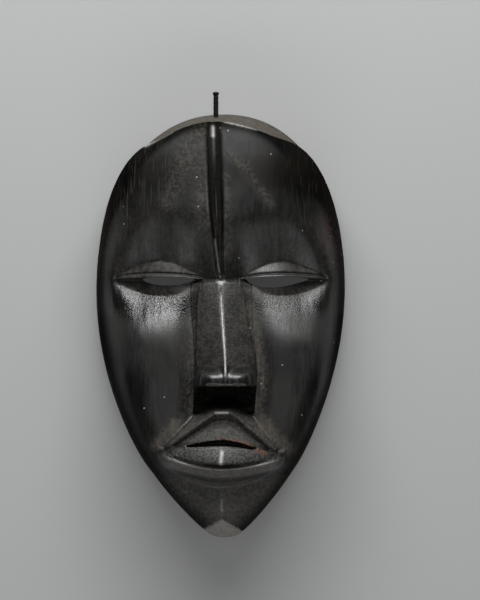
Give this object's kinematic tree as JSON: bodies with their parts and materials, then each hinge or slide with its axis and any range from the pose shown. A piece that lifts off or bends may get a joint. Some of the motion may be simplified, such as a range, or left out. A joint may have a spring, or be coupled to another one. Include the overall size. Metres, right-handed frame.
{
  "type": "wall mask",
  "caption": "Carved dark wooden face mask with narrow slit eyes, straight nose, full lips and a hollow back, lying face up on its flat rim, with an iron pin in its crown.",
  "frame": {"origin": "middle of the length and width on the plane of the flat back rim, which lies on the floor", "axes": "+Z out of the face, +Y towards the crown, +X to the viewer's right"},
  "size_m": [0.1442, 0.2562, 0.0764],
  "materials": {
    "dark_wood": "hand-polished black patina over carved wood, worn light brown at the crown edge",
    "iron": "dark oxidised wrought iron"
  },
  "bodies": {
    "root": {"mask": "dark_wood", "crown_pin": "iron"}
  },
  "joints": []
}
